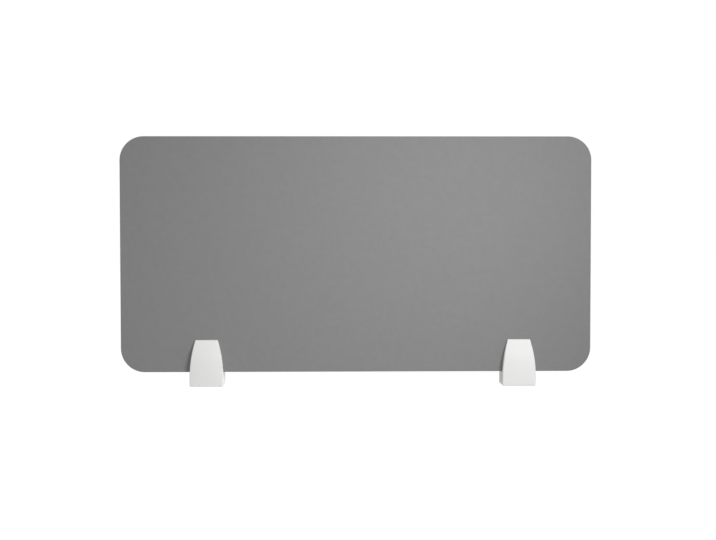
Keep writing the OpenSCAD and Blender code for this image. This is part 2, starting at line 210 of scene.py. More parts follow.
# %% [markdown]
# ## Pressed felt
# The board is needle-punched polyester felt. From a few metres it is an even, quite neutral grey
# with a faint mottle; from close up it is a mat of short fibres that lie every way, some lighter
# than the rest. One noise would look like clouds. The fibres come from noise that is turned and
# then squeezed, in three directions, and a wavering of the coordinates bends them. Where such a
# noise passes its middle value it draws thin winding lines, and those lines are the fibres. The
# cut edge shows the layers that were pressed together, so the normal picks out the rim and stripes
# across the thickness darken it. A little sheen gives the soft rim of light that felt has.

# %% Felt for the board
FIBRE_TURNS = ((12.0, 0.0), (74.0, 0.31), (131.0, 0.77))  # degrees, and a shift in metres
FIBRE_SQUEEZE = (1.0, 0.5, 0.13)  # along the fibres, through the board, and across the fibres
LAYERS = 5
FELT_DARK, FELT_PALE, FELT_CUT = grey(0.204), grey(0.302), grey(0.15)


def felt_finish(thickness):
    material, tree, shader, here = new_finish("pressed_felt", Sheen_Weight=0.12, Sheen_Roughness=0.5,
                                              Specular_IOR_Level=0.25)
    waver = noise(tree, here, 7 * MM, detail=1.0).out("Color")
    bend = tree.add("ShaderNodeVectorMath", {"operation": "SCALE"}, {"Vector": waver, "Scale": 3 * MM})
    bent = tree.add("ShaderNodeVectorMath", {"operation": "ADD"}, {0: here, 1: bend})
    fibres = None
    for turn, shift in FIBRE_TURNS:
        squeezed = tree.add("ShaderNodeMapping", {"vector_type": "TEXTURE"}, {
            "Vector": bent, "Location": (shift, 0.0, shift), "Rotation": (0.0, math.radians(turn), 0.0),
            "Scale": FIBRE_SQUEEZE})
        off_middle = (noise(tree, squeezed, 4 * MM, roughness=0.6) - 0.5).absolute()
        line = (1.0 - off_middle * 14.0).between(0.0, 1.0)
        fibres = line if fibres is None else fibres.maths("MAXIMUM", line)
    cloud = noise(tree, here, 14 * MM, detail=4.0)
    fine = noise(tree, here, 0.7 * MM)
    tone = (fibres * 0.36 + cloud * 0.28 + fine * 0.36).between(0.0, 1.0)
    face = blend(tree, tone, FELT_DARK, FELT_PALE)
    facing = tree.axes(tree.add("ShaderNodeNewGeometry").out("Normal"))[1]
    rim = 1.0 - ((facing.absolute() - 0.35) * 4.0).between(0.0, 1.0)
    depth = tree.axes(here)[1] + fine * (0.5 * MM)
    layer = (depth * (2 * math.pi * LAYERS / thickness)).maths("SINE") * 0.5 + 0.5
    colour = blend(tree, rim * (1.0 - layer * 0.6) * 0.55, face, FELT_CUT)
    tree.plug(shader.inputs["Base Color"], colour)
    tree.plug(shader.inputs["Roughness"], 0.97 - fibres * 0.08)
    bumped(tree, shader, fibres * 0.55 + fine * 0.45, 0.3 * MM, 0.6)
    return material


def strand_finish():
    """Single fibres that lie on the face, a little lighter or darker than the felt."""
    material, tree, shader, here = new_finish("felt_strands", Sheen_Weight=0.1, Specular_IOR_Level=0.3)
    which = noise(tree, here, 12 * MM, detail=1.0)
    paler = ((which - 0.4) * 5.0).between(0.0, 1.0)
    tree.plug(shader.inputs["Base Color"], blend(tree, paler, grey(0.25), grey(0.36)))
    tree.plug(shader.inputs["Roughness"], 0.75 + which * 0.2)
    return material


board_low, board_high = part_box("board")
felt = felt_finish(board_high[1] - board_low[1])
strands = strand_finish()

# %% [markdown]
# ## Moulded plastic
# The clamps are white mouldings with a fine satin texture from a spark-eroded tool: even grains a
# third of a millimetre across that break up the highlight but can't be seen as bumps. The white is
# a little warm and not quite even. Three noises of different sizes do it. The finest is a very low
# bump with a trace of it in the tone, the widest a drift of tone and roughness, and the one between
# adds faint flow marks to the roughness. The black of the knobs is the same recipe with other
# numbers.

# %% White plastic for the clamps, black for the knobs
def moulded_finish(name, colour, darker, rough, grain_depth):
    material, tree, shader, here = new_finish(name, Specular_IOR_Level=0.4, IOR=1.49)
    grain = noise(tree, here, 0.33 * MM, detail=1.0)
    drift = noise(tree, here, 22 * MM, detail=3.0)
    flow = noise(tree, here, 4 * MM, lean=0.4)
    tone = (drift * 0.7 + grain * 0.3).between(0.0, 1.0)
    tree.plug(shader.inputs["Base Color"], blend(tree, tone, darker, colour))
    tree.plug(shader.inputs["Roughness"], rough + (drift - 0.5) * 0.12 + (flow - 0.5) * 0.05)
    bumped(tree, shader, grain, grain_depth, 0.5)
    return material


white_plastic = moulded_finish("white_plastic", (0.892, 0.892, 0.885, 1), (0.860, 0.860, 0.852, 1),
                               rough=0.72, grain_depth=0.05 * MM)
black_plastic = moulded_finish("black_plastic", (0.034, 0.035, 0.037, 1), (0.024, 0.025, 0.027, 1),
                               rough=0.5, grain_depth=0.08 * MM)

# %% [markdown]
# ## Metals
# The clamp screws, cover screws, nuts and plates are zinc-plated: a pale metal with faint cloudy
# patches and drawn scratches. The set screws and the clips are blackened, and the inserts are
# brass. All three are one recipe with other numbers. The colour moves only a little; it is mostly
# the roughness that changes, because that is what the eye reads as worn or wiped metal.

# %% Metals
def metal_finish(name, colour, darker, rough, patch):
    material, tree, shader, here = new_finish(name, Metallic=1.0)
    clouds = noise(tree, here, patch, detail=3.0)
    drawn = tree.add("ShaderNodeMapping", None, {"Vector": here, "Scale": (1.0, 14.0, 14.0)})
    scratches = noise(tree, drawn, 5 * MM, detail=4.0, roughness=0.7)
    tree.plug(shader.inputs["Base Color"], blend(tree, clouds, darker, colour))
    tree.plug(shader.inputs["Roughness"], rough + (clouds - 0.5) * 0.16 + (scratches - 0.5) * 0.14)
    bumped(tree, shader, scratches, 0.02 * MM, 0.4)
    return material


zinc = metal_finish("zinc_plate", (0.66, 0.67, 0.69, 1), (0.50, 0.51, 0.53, 1),
                    rough=0.34, patch=3 * MM)
black_steel = metal_finish("blackened_steel", (0.10, 0.10, 0.105, 1), (0.05, 0.05, 0.055, 1),
                           rough=0.42, patch=2 * MM)
brass = metal_finish("turned_brass", (0.78, 0.57, 0.27, 1), (0.62, 0.43, 0.18, 1),
                     rough=0.28, patch=2 * MM)

# %% [markdown]
# ## Rubber
# The pads are moulded rubber: nearly black, dull, a little dusty. Dust is a noise with many octaves
# that lightens and roughens the same places. Their grip comes from small studs, which are real
# shapes and are made further down.

# %% Rubber for the pads
def rubber_finish():
    material, tree, shader, here = new_finish("moulded_rubber", Specular_IOR_Level=0.3)
    dust = noise(tree, here, 9 * MM, detail=6.0, roughness=0.65)
    fine = noise(tree, here, 0.4 * MM)
    tree.plug(shader.inputs["Base Color"], blend(tree, dust, grey(0.020), grey(0.050)))
    tree.plug(shader.inputs["Roughness"], 0.70 + dust * 0.22)
    bumped(tree, shader, fine, 0.06 * MM, 0.5)
    return material


rubber = rubber_finish()
print("finishes made:", len(bpy.data.materials))

# %% [markdown]
# ## Geometry Nodes as a workshop
# What repeats or follows a rule is made with Geometry Nodes: the board, the fibres on it, the cover
# screws, the studs of the pads, the thread of the clamp screw and the knob. Each tree has named
# inputs for its sizes, so one tree makes the left and the right piece. Three helpers serve them all:
# one starts a tree, one ends it, and one gives it sizes and runs it once. A fourth keeps what comes
# out as a plain mesh, because an export can't carry a live modifier or instances. The bevels further
# down need that one too.

# %% Start a tree with named inputs, end it, and bake it to a plain mesh
NUMBER, WHOLE, FINISH = "NodeSocketFloat", "NodeSocketInt", "NodeSocketMaterial"


def new_growth(name, **inputs):
    """A Geometry Nodes tree with these inputs, each with its socket type."""
    group = bpy.data.node_groups.new(name, "GeometryNodeTree")
    group.interface.new_socket("Geometry", in_out="INPUT", socket_type="NodeSocketGeometry")
    for label, kind in {**inputs, "Finish": FINISH}.items():
        group.interface.new_socket(label, in_out="INPUT", socket_type=kind)
    group.interface.new_socket("Geometry", in_out="OUTPUT", socket_type="NodeSocketGeometry")
    tree = Tree(group)
    return tree, tree.add("NodeGroupInput").out


def end_growth(tree, given, shape):
    """Every tree ends the same way: real geometry, one finish."""
    real = tree.add("GeometryNodeRealizeInstances", None, {"Geometry": shape})
    done = tree.add("GeometryNodeSetMaterial", None, {"Geometry": real, "Material": given("Finish")})
    tree.add("NodeGroupOutput", None, {"Geometry": done})
    return tree


def grow(name, tree, start=None, **values):
    """Runs a tree on a start mesh and returns the result as a plain mesh object."""
    source = linked(name + "_source", start or bpy.data.meshes.new(name + "_start"))
    modifier = source.modifiers.new(name, "NODES")
    modifier.node_group = tree.group
    for item in tree.group.interface.items_tree:
        if item.item_type == "SOCKET" and item.in_out == "INPUT" and item.name in values:
            modifier[item.identifier] = values[item.name]
    return baked(name, source)


def baked(name, source):
    """The evaluated mesh of an object with modifiers, as a new object of its own."""
    view = bpy.context.evaluated_depsgraph_get()
    mesh = bpy.data.meshes.new_from_object(source.evaluated_get(view), preserve_all_data_layers=True,
                                           depsgraph=view)
    source.modifiers.clear()
    bpy.data.objects.remove(source)
    mesh.name = name
    print(f"{name}: {len(mesh.polygons)} faces")
    return linked(name, mesh)


# %% [markdown]
# ## Shapes drawn point by point
# A thread of felt, a screw and a hexagon bar are each a stack of rings of points. One function
# skins any such stack: it joins every ring to the next and closes both ends. A ring may be a single
# point, and then the faces beside it are triangles. The other helpers finish a piece. They paint
# it, move it, clean it, and put it on the body that carries it.

# %% Skin a stack of rings, and finish a piece
def mesh_of(shell, name):
    """The bmesh as a mesh of its own."""
    mesh = bpy.data.meshes.new(name)
    shell.to_mesh(mesh)
    shell.free()
    return mesh


def skinned(name, rings):
    """A closed mesh through rings of points."""
    shell = bmesh.new()
    rings = [[shell.verts.new(point) for point in ring] for ring in rings]
    for a, b in zip(rings, rings[1:]):
        count = max(len(a), len(b))
        for k in range(count):
            n = (k + 1) % count
            corners = [a[0]] if len(a) == 1 else [a[k], a[n]]
            corners += [b[0]] if len(b) == 1 else [b[n], b[k]]
            shell.faces.new(corners)
    for ring in (rings[0][::-1], rings[-1]):
        if len(ring) > 1:
            shell.faces.new(ring)
    bmesh.ops.recalc_face_normals(shell, faces=shell.faces)
    return mesh_of(shell, name)


def swept(name, profile, turns):
    """A closed mesh from (radius, height) pairs, each set out around Z at every turn."""
    return skinned(name, [[(radius * math.cos(a), radius * math.sin(a), height)
                           for a in (turns if radius else turns[:1])] for radius, height in profile])


def painted(mesh, finish):
    mesh.materials.clear()
    mesh.materials.append(finish)
    return mesh


def as_piece(name, mesh, finish):
    print(f"{name}: {len(mesh.polygons)} faces")
    return linked(name, painted(mesh, finish))


def moved(piece, matrix):
    """Moves the mesh and not the object, so that the object stays at the origin."""
    piece.data.transform(matrix)
    piece.data.update()
    return piece


def outwards(piece):
    """Merges points less than a micrometre apart and turns every face out of its shell."""
    shell = bmesh.new()
    shell.from_mesh(piece.data)
    bmesh.ops.remove_doubles(shell, verts=shell.verts, dist=0.001 * MM)
    bmesh.ops.recalc_face_normals(shell, faces=shell.faces)
    shell.to_mesh(piece.data)
    shell.free()
    return piece


def fit(piece, body, slot, *nodes):
    """Puts a piece on its body and hides the solids that it stands for. The slot is not used."""
    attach(piece, body)
    if nodes:
        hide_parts(*nodes)
    return piece


def ends(node):
    """The two opposite corners of a solid's box."""
    return [Vector(corner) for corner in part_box(node)]


def middle(node):
    """The middle of a solid's box, and its size."""
    low, high = ends(node)
    return (low + high) / 2, high - low


# %% [markdown]
# ## The board, drawn by a rule
# The board is a rectangle with round corners and slightly soft edges, which is a rule with five
# numbers. A cylinder primitive already has rings and two caps. Each of its points is moved: its
# angle picks a place on a corner's arc, its sign picks the corner, and its height picks a step of
# the rounded edge. The flats between the corners come by themselves, from the jump of sign between
# two neighbouring points. The knob further down starts from the same cylinder and rounds its edges
# in the same way.

# %% A cylinder to reshape, and how its outer rings round an edge
def drum(tree, points):
    """A cylinder from -1 to 1, the angle of each of its points, and their height."""
    rings = tree.add("GeometryNodeMeshCylinder", {"fill_type": "NGON"},
                     {"Vertices": points, "Side Segments": 12, "Radius": 1.0, "Depth": 2.0})
    x, y, z = tree.axes(tree.add("GeometryNodeInputPosition"))
    return rings.out("Mesh"), y.maths("ARCTAN2", x), z


def rounded(z, flat, half, soft):
    """How far a ring is drawn in, and its height. The rings past the flat share round the edge."""
    bend = ((z.absolute() - flat) / (1.0 - flat)).between(0.0, 1.0) * (math.pi / 2)
    level = (z / flat).between(-1.0, 1.0) * (half - soft)
    return soft * (1.0 - bend.maths("COSINE")), level + z.maths("SIGN") * soft * bend.maths("SINE")


def reshaped(tree, mesh, x, y, z):
    spot = tree.add("ShaderNodeCombineXYZ", None, {"X": x, "Y": y, "Z": z})
    return tree.add("GeometryNodeSetPosition", None, {"Geometry": mesh, "Position": spot})


# %% The rule for a slab with round corners and soft edges
def slab_rule(points=160):
    tree, given = new_growth("slab_rule", Width=NUMBER, Height=NUMBER, Thickness=NUMBER,
                             Corner=NUMBER, Soft=NUMBER)
    mesh, angle, z = drum(tree, points)
    # half a step on, so that no point lies between two corners
    turn = angle + math.pi / points
    along, across = turn.maths("COSINE"), turn.maths("SINE")
    inset, deep = rounded(z, 0.5, given("Thickness") * 0.5, given("Soft"))
    reach = given("Corner") - inset
    px = along.maths("SIGN") * (given("Width") * 0.5 - given("Corner")) + along * reach
    pz = across.maths("SIGN") * (given("Height") * 0.5 - given("Corner")) + across * reach
    shaped = reshaped(tree, mesh, px, deep, pz)
    facing = tree.axes(tree.add("GeometryNodeInputNormal"))[1]
    off_face = (0.999 - facing.absolute()).above(0.0)
    smooth = tree.add("GeometryNodeSetShadeSmooth", None,
                      {"Geometry": shaped, "Shade Smooth": off_face})
    return end_growth(tree, given, smooth)


FUZZ = 0.06 * MM  # left free on each face, for the fibres that lie on it
board_middle, board_size = middle("board")
board_depth = board_size.y - 2 * FUZZ
board = grow("felt_board", slab_rule(), Width=board_size.x, Height=board_size.z, Thickness=board_depth,
             Corner=61 * MM, Soft=1.5 * MM, Finish=felt)
fit(moved(outwards(board), Matrix.Translation(board_middle)), "board", "felt", "board")

# %% [markdown]
# ## Fibres on the felt
# Close to, a few thousand fibres stand out from the felt because they lie on top of it. Each is a
# thin bent thread of some millimetres. One thread is drawn point by point; points are scattered
# on the board's two faces, and each point takes a copy, laid flat on the face, turned at random and
# scaled at random. The seed is fixed, so every run gives the same board.

# %% One thread, bent in its own plane
def one_strand(length, thick, steps=6):
    """A three-sided thread along X that bows towards +Y and thins out at both ends."""
    rings = []
    for i in range(steps + 1):
        t = i / steps - 0.5
        core = Vector((t * length, 0.22 * length * (0.25 - t * t) * 2, 0.0))
        slim = thick * (1.0 - (2 * t) ** 4 * 0.6)
        rings.append([core + Vector((0, math.cos(a) * slim, math.sin(a) * slim))
                      for a in (0.5, 2.6, 4.7)])
    return skinned("one_strand", rings)


# %% Scatter the threads over a face of the board
def strand_rule():
    tree, given = new_growth("strand_rule", Width=NUMBER, Height=NUMBER, Share=NUMBER, Count=NUMBER,
                             Seed=WHOLE)
    sheet = tree.add("GeometryNodeMeshGrid", None, {"Size X": given("Width"), "Size Y": given("Height"),
                                                    "Vertices X": 2, "Vertices Y": 2})
    density = given("Count") / (given("Width") * given("Height"))
    points = tree.add("GeometryNodeDistributePointsOnFaces", {"distribute_method": "RANDOM"},
                      {"Mesh": sheet.out("Mesh"), "Density": density, "Seed": given("Seed")})
    spin = tree.add("FunctionNodeRandomValue", {"data_type": "FLOAT_VECTOR"},
                    {"Min": (0.0, 0.0, 0.0), "Max": (0.0, 0.0, 2 * math.pi), "Seed": given("Seed")})
    size = tree.add("FunctionNodeRandomValue", {"data_type": "FLOAT"},
                    {"Min": given("Share"), "Max": 1.0, "Seed": given("Seed")})
    laid = tree.add("GeometryNodeInstanceOnPoints", None, {
        "Points": points.out("Points"), "Instance": given("Geometry"), "Rotation": spin.out("Value"),
        "Scale": size.out("Value")})
    return end_growth(tree, given, laid)


CLEAR = 110 * MM   # less than the board in width and height, to stay off its round corners
LIFT = 0.005 * MM  # how far a thread's middle lies above the felt
scatter, thread = strand_rule(), one_strand(7 * MM, 0.045 * MM)
for name, seed, way in (("felt_strands_front", 11, -1), ("felt_strands_back", 23, 1)):
    fuzz = grow(name, scatter, start=thread, Width=board_size.x - CLEAR, Height=board_size.z - CLEAR,
                Share=0.45, Count=1500.0, Seed=seed, Finish=strands)
    face = board_middle + Vector((0, way * (board_depth / 2 + LIFT), 0))
    moved(fuzz, Matrix.Translation(face) @ Matrix.Rotation(math.radians(-90 * way), 4, "X"))
    fit(fuzz, "board", "felt")

# %% [markdown]
# ## Softened mouldings
# Moulded plastic has no sharp edge, and the thin bright line along a rounded edge is what makes it
# read as a real part. The solids of the clamps already have the right walls, ribs, holes and
# bosses, so they are copied, joined into whole faces, and given a Bevel. The copies then stand for
# the plain solids. The cover is special: hands and papers brush past its front, so the outline of
# its face gets a wide rounding first, chosen by edge weight, and all other edges a narrow one.

# %% Copy a solid and round its edges
SAME_POINT = 0.002 * MM           # points nearer than this are joined
SAME_FACE = math.radians(0.6)     # faces that meet flatter than this are joined
ROUNDED_EDGE = math.radians(25)   # an edge that turns by more than this is rounded


def is_border(edge):
    """Whether an edge parts a face that looks forwards from one that doesn't."""
    ahead = sorted(face.normal.y for face in edge.link_faces)
    return len(ahead) == 2 and ahead[0] < -0.8 and ahead[1] > -0.3


def softened(node, width, body, slot, finish, border=0.0):
    """A bevelled copy of a solid, with a wider bevel round its front if a border is given."""
    shell = bmesh.new()
    shell.from_mesh(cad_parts[node].data)
    bmesh.ops.remove_doubles(shell, verts=shell.verts, dist=SAME_POINT)
    bmesh.ops.dissolve_limit(shell, angle_limit=SAME_FACE, verts=shell.verts, edges=shell.edges)
    weight = shell.edges.layers.float.new("bevel_weight_edge")
    for edge in shell.edges:
        edge[weight] = 1.0 if border and is_border(edge) else 0.0
    mesh = painted(mesh_of(shell, node + "_soft"), finish)
    mesh.polygons.foreach_set("use_smooth", [True] * len(mesh.polygons))
    rough = linked(node + "_rough", mesh)
    for size, method, steps in ((border, "WEIGHT", 5), (width, "ANGLE", 3)):
        if size:
            bevel = rough.modifiers.new(method.lower(), "BEVEL")
            bevel.width, bevel.segments, bevel.limit_method = size, steps, method
            bevel.angle_limit, bevel.use_clamp_overlap = ROUNDED_EDGE, method == "ANGLE"
            bevel.harden_normals = True
    return fit(baked(node + "_soft", rough), body, slot, node)


for side in SIDES:
    softened(side + "_cover", 0.5 * MM, side + "_clamp", "clamp_white", white_plastic, border=2.3 * MM)
    softened(side + "_body", 0.6 * MM, side + "_clamp", "clamp_white", white_plastic)
    softened(side + "_pressure_plate", 0.4 * MM, side + "_jaw", "zinc_steel", zinc)
    softened(side + "_nut", 0.3 * MM, side + "_clamp", "zinc_steel", zinc)

# %% [markdown]
# ## Turned parts
# Screws are turned on a lathe, and a mesh can be made the same way: a profile of radius and height
# is drawn once and swept around an axis. The ends close in a single point. The cover screws have a
# low domed head with a cross recess, which two tapered bars cut out of it.

# %% A lathe, and a cutter for recesses
CREASE = math.radians(32)  # an edge that turns by more than this is shaded sharp


def turned(name, profile, steps=40):
    """A round mesh from (radius, height) pairs, shaded smooth but for its creases."""
    mesh = swept(name, profile, [2 * math.pi * k / steps for k in range(steps)])
    mesh.polygons.foreach_set("use_smooth", [True] * len(mesh.polygons))
    mesh.set_sharp_from_angle(angle=CREASE)
    return mesh


def cut_with(mesh, cutter):
    """The mesh with the cutter mesh taken out of it."""
    work, tool = linked("work", mesh), linked("tool", cutter)
    cut = work.modifiers.new("cut", "BOOLEAN")
    cut.operation, cut.solver, cut.object = "DIFFERENCE", "EXACT", tool
    view = bpy.context.evaluated_depsgraph_get()
    result = bpy.data.meshes.new_from_object(work.evaluated_get(view), depsgraph=view)
    for item in (work, tool):
        bpy.data.objects.remove(item)
    result.set_sharp_from_angle(angle=CREASE)
    return result


def wedge(length, width, low, high, taper):
    """A bar that narrows towards its lower end, to cut one stroke of a cross."""
    shell = bmesh.new()
    bmesh.ops.create_cube(shell, size=1.0)
    for v in shell.verts:
        share = 1.0 if v.co.z > 0 else taper
        v.co = Vector((v.co.x * length * share, v.co.y * width * share, high if v.co.z > 0 else low))
    return mesh_of(shell, "wedge")


# %% One cover screw, in millimetres, with its head above 0 and its shank below
SHANK, HEAD = 12, 7  # the shank's length and the head's diameter
COVER_SCREW = [(0, -SHANK), (0.5, -11.6), (1.75, -9.5), (1.75, 0), (3.3, 0), (HEAD / 2, 0.2),
               (3.45, 0.9), (3.1, 1.6), (2.4, 2.1), (1.3, 2.35), (0, 2.4)]


def cover_screw_mesh():
    screw = turned("cover_screw", COVER_SCREW)
    for turn in (0, 90):
        bar = wedge(length=4.0, width=0.95, low=0.9, high=2.6, taper=0.55)
        bar.transform(Matrix.Rotation(math.radians(turn), 4, "Z"))
        screw = cut_with(screw, bar)
    screw.transform(Matrix.Scale(MM, 4))
    return screw


# %% Four of them, on a grid, each turned as it happened to stop
def screw_grid_rule():
    tree, given = new_growth("screw_grid_rule", Across=NUMBER, Up=NUMBER, Seed=WHOLE)
    places = tree.add("GeometryNodeMeshGrid", None, {"Size X": given("Across"), "Size Y": given("Up"),
                                                     "Vertices X": 2, "Vertices Y": 2})
    spin = tree.add("FunctionNodeRandomValue", {"data_type": "FLOAT_VECTOR"},
                    {"Min": (0.0, 0.0, 0.0), "Max": (0.0, 0.0, math.pi / 2), "Seed": given("Seed")})
    copies = tree.add("GeometryNodeInstanceOnPoints", None, {
        "Points": places.out("Mesh"), "Instance": given("Geometry"), "Rotation": spin.out("Value")})
    return end_growth(tree, given, copies)


screw_grid, screw_mesh = screw_grid_rule(), cover_screw_mesh()
for side, seed in zip(SIDES, (5, 9)):
    low, high = ends(side + "_cover_screws")
    screws = grow(side + "_cover_screw_set", screw_grid, start=screw_mesh, Seed=seed, Finish=zinc,
                  Across=high.x - low.x - HEAD * MM, Up=high.z - low.z - HEAD * MM)
    seat = Vector(((low.x + high.x) / 2, low.y + SHANK * MM, (low.z + high.z) / 2))
    moved(outwards(screws), Matrix.Translation(seat) @ Matrix.Rotation(math.radians(-90), 4, "X"))
    fit(screws, side + "_clamp", "zinc_steel", side + "_cover_screws")

# %% [markdown]
# ## The clamp screw and its thread
# The clamp screw is an M8: a hexagon head that is pressed into the knob, a thread with a pitch of
# 1.25 mm, and a slim neck with a groove for the clip. The solid has no thread, because a thread
# takes no part in how it moves. Here the core is turned on the lathe at the thread's root, and the
# thread itself is a helix: a spiral curve with a small diamond as its section.

# %% The rule for a thread, and a hexagon bar
def thread_rule():
    tree, given = new_growth("thread_rule", Radius=NUMBER, Pitch=NUMBER, Length=NUMBER)
    ridge = given("Pitch") * 0.5
    coil = tree.add("GeometryNodeCurveSpiral", None, {
        "Resolution": 36, "Rotations": given("Length") / given("Pitch"), "Height": given("Length"),
        "Start Radius": given("Radius") - ridge, "End Radius": given("Radius") - ridge})
    level = tree.add("GeometryNodeSetCurveNormal", {"mode": "Z_UP"}, {"Curve": coil})
    diamond = tree.add("GeometryNodeCurvePrimitiveCircle", {"mode": "RADIUS"},
                       {"Resolution": 4, "Radius": ridge})
    solid = tree.add("GeometryNodeCurveToMesh", None,
                     {"Curve": level, "Profile Curve": diamond.out("Curve"), "Fill Caps": True})
    flat = tree.add("GeometryNodeSetShadeSmooth", None, {"Geometry": solid, "Shade Smooth": False})
    return end_growth(tree, given, flat)


def hexagon(across_flats, low, high, soft):
    """A hexagon bar with chamfered ends, in millimetres."""
    corner = across_flats / 2 / math.cos(math.pi / 6)
    profile = [(corner - soft, low), (corner, low + soft * 0.6),
               (corner, high - soft * 0.6), (corner - soft, high)]
    return swept("hexagon", profile, [math.radians(60 * k + 30) for k in range(6)])


# %% Core, head and thread, with the core's profile in millimetres from the head up
ROOT, NECK, GROOVE = 3.3, 2.95, 2.5    # radii
CORE = [(0, -66), (ROOT, -66), (ROOT, -38.2), (NECK, -37.15), (NECK, -33.95), (GROOVE, -33.9),
        (GROOVE, -33.25), (NECK, -33.2), (2.6, -32.95), (0, -32.95)]
ACROSS_FLATS, HEAD_HEIGHT = 13, 5.3    # of the head, in millimetres
THREAD_START = -62 * MM

coil = thread_rule()
for side in SIDES:
    low, high = ends(side + "_clamp_screw")
    axis = Matrix.Translation(((low.x + high.x) / 2, (low.y + high.y) / 2, 0.0))
    foot = low.z / MM
    head = hexagon(ACROSS_FLATS, foot, foot + HEAD_HEIGHT, soft=0.5)
    for part, mesh in (("core", turned("core", CORE)), ("head", head)):
        mesh.transform(axis @ Matrix.Scale(MM, 4))
        piece = as_piece(f"{side}_screw_{part}", mesh, zinc)
        fit(piece, side + "_screw", "zinc_steel", side + "_clamp_screw")
    ridge = grow(side + "_screw_thread", coil, Radius=4 * MM, Pitch=1.25 * MM, Length=23.5 * MM,
                 Finish=zinc)
    moved(ridge, axis @ Matrix.Translation((0, 0, THREAD_START)))
    fit(ridge, side + "_screw", "zinc_steel")

# %% [markdown]
# ## The knob
# The knob is a black moulded wheel with eight hollows for the fingers. Seen from below, its edge is
# where two curves meet: the wheel's circle, and the circle of a finger hollow, repeated eight times.
# The smaller radius of the two wins, and a smooth minimum rounds the crest between them. The same
# rings as in the board's rule round its top and bottom. A shallow dish in its underside and a
# pocket for the hexagon head are then cut out.

# %% The rule for a wheel with finger hollows
def knob_rule(points=192):
    tree, given = new_growth("knob_rule", Radius=NUMBER, Height=NUMBER, Grips=NUMBER, Hollow=NUMBER,
                             Deep=NUMBER, Soft=NUMBER)
    mesh, turn, z = drum(tree, points)
    step = 2 * math.pi / given("Grips")
    off = turn.maths("WRAP", step, 0.0) - step * 0.5
    centre = given("Radius") + given("Hollow") - given("Deep")
    aside = centre * off.maths("SINE").absolute()
    reach = (given("Hollow") ** 2.0 - aside ** 2.0).maths("MAXIMUM", 0.0).maths("SQRT")
    # a metre is added where the ray misses the hollow's circle, so that the wheel's own radius wins
    missed = (aside - given("Hollow")).above(0.0)
    hollow = centre * off.maths("COSINE") - reach + missed
    inset, level = rounded(z, 0.4, given("Height") * 0.5, given("Soft"))
    edge = given("Radius").maths("SMOOTH_MIN", hollow, given("Soft")) - inset
    shaped = reshaped(tree, mesh, turn.maths("COSINE") * edge, turn.maths("SINE") * edge, level)
    smooth = tree.add("GeometryNodeSetShadeSmooth", None, {"Geometry": shaped, "Shade Smooth": True})
    return end_growth(tree, given, smooth)


# %% Both knobs, cut by a dish and a pocket that are in millimetres from the knob's middle
DISH = [(0, -5), (13.5, -5), (12.6, -3.2), (0, -3.2)]
POCKET_FLATS = 13.1

wheel = knob_rule()
for side in SIDES:
    centre, size = middle(side + "_knob")
    blank = grow(side + "_blank", wheel, Radius=size.x / 2, Height=size.z, Grips=8.0, Hollow=5 * MM,
                 Deep=2 * MM, Soft=1.1 * MM, Finish=black_plastic)
    shape = outwards(blank).data
    for cutter in (turned("dish", DISH, steps=96), hexagon(POCKET_FLATS, -8, 2, soft=0.0)):
        cutter.transform(Matrix.Scale(MM, 4))
        shape = cut_with(shape, cutter)
    bpy.data.objects.remove(blank)
    knob = as_piece(side + "_wheel", shape, black_plastic)
    moved(outwards(knob), Matrix.Translation(centre))
    fit(knob, side + "_screw", "knob_black", side + "_knob")

# %% [markdown]
# ## Rubber pads with studs
# Both jaws carry a rubber pad, and its grip comes from rows of low round studs. The pad itself is a
# softened copy of the solid whose gripping face is lowered by the height of a stud. The studs are
# copies of one dome on a grid. Points that would fall outside the pad's round corners, or into the
# hole for the clip, are deleted before the domes are placed.

# %% The rule for a field of studs
STUD, SQUASH = 0.9 * MM, 0.45  # radius of a stud, and its height as a share of that


def stud_rule():
    tree, given = new_growth("stud_rule", Width=NUMBER, Depth=NUMBER, Corner=NUMBER, Across=WHOLE,
                             Down=WHOLE, Hole=NUMBER, Stud=NUMBER)
    field = tree.add("GeometryNodeMeshGrid", None, {
        "Size X": given("Width"), "Size Y": given("Depth"), "Vertices X": given("Across"),
        "Vertices Y": given("Down")})
    x, y, _ = tree.axes(tree.add("GeometryNodeInputPosition"))
    from_middle = (x * x + y * y).maths("SQRT")
    past_x = (x.absolute() - (given("Width") * 0.5 - given("Corner"))).maths("MAXIMUM", 0.0)
    past_y = (y.absolute() - (given("Depth") * 0.5 - given("Corner"))).maths("MAXIMUM", 0.0)
    outside = ((past_x * past_x + past_y * past_y).maths("SQRT") - given("Corner")).above(0.01 * MM)
    gone = outside.maths("MAXIMUM", (given("Hole") - from_middle).above(0.0))
    kept = tree.add("GeometryNodeDeleteGeometry", {"domain": "POINT"},
                    {"Geometry": field.out("Mesh"), "Selection": gone})
    dome = tree.add("GeometryNodeMeshUVSphere", None,
                    {"Segments": 8, "Rings": 6, "Radius": given("Stud")})
    low = tree.add("GeometryNodeTransform", None,
                   {"Geometry": dome.out("Mesh"), "Scale": (1.0, 1.0, SQUASH)})
    studs = tree.add("GeometryNodeInstanceOnPoints", None, {"Points": kept, "Instance": low})
    smooth = tree.add("GeometryNodeSetShadeSmooth", None, {"Geometry": studs, "Shade Smooth": True})
    return end_growth(tree, given, smooth)


# %% Pad and studs of each jaw
BARE = 5 * MM         # the grid of studs is this much smaller than the pad, both ways
STUD_STEP = 3 * MM    # from stud to stud, as nearly as a whole number of studs allows
CLIP_SPACE = 8 * MM   # radius without studs, where the clip lies
PADS = (("top_pad", "clamp", -1, 0.0), ("pressure_pad", "jaw", 1, CLIP_SPACE))

